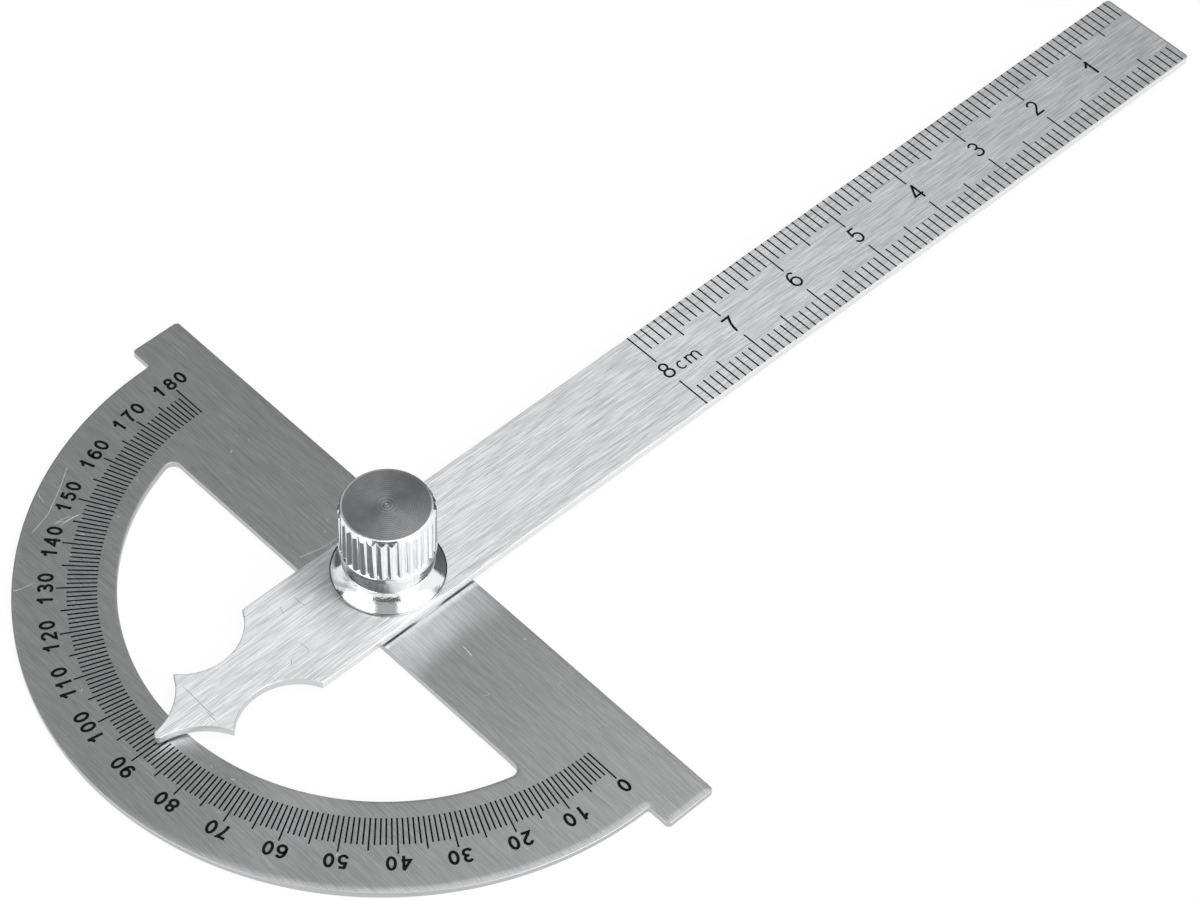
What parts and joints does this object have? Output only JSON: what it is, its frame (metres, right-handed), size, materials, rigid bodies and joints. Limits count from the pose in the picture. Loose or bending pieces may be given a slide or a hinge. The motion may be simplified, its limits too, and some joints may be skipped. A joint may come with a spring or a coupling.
{
  "type": "angle gauge",
  "caption": "Half-round steel protractor plate with a swinging rule arm that ends in a spear pointer, clamped by a fluted thumb nut on a riveted stud.",
  "frame": {"origin": "on the pivot axis, in the plate's back face and the flush end of the stud", "axes": "+X along the bar towards the zero end of the degree scale, +Y along the rule towards its square end, +Z out of the plate's front through the thumb nut"},
  "size_m": [0.0856, 0.1609, 0.0132],
  "materials": {
    "plate_steel": "stainless sheet brushed along the bar",
    "rule_steel": "stainless sheet brushed along the rule",
    "washer_steel": "plain stainless shim",
    "stud_steel": "turned stainless",
    "nut_chrome": "bright chrome plate, with a satin turned top"
  },
  "bodies": {
    "protractor": {"protractor_plate": "plate_steel", "spacer_washer": "washer_steel", "pivot_stud": "stud_steel"},
    "rule": {"rule_arm": "rule_steel"},
    "nut": {"thumb_nut": "nut_chrome"}
  },
  "joints": [
    {"name": "rule_swing", "type": "hinge", "parent": "protractor", "child": "rule", "pos_m": [0, 0, 0], "axis": [0, 0, 1], "continuous": true},
    {"name": "nut_turn", "type": "hinge", "parent": "protractor", "child": "nut", "pos_m": [0, 0, 0], "axis": [0, 0, 1], "range_deg": [0, 360]}
  ]
}
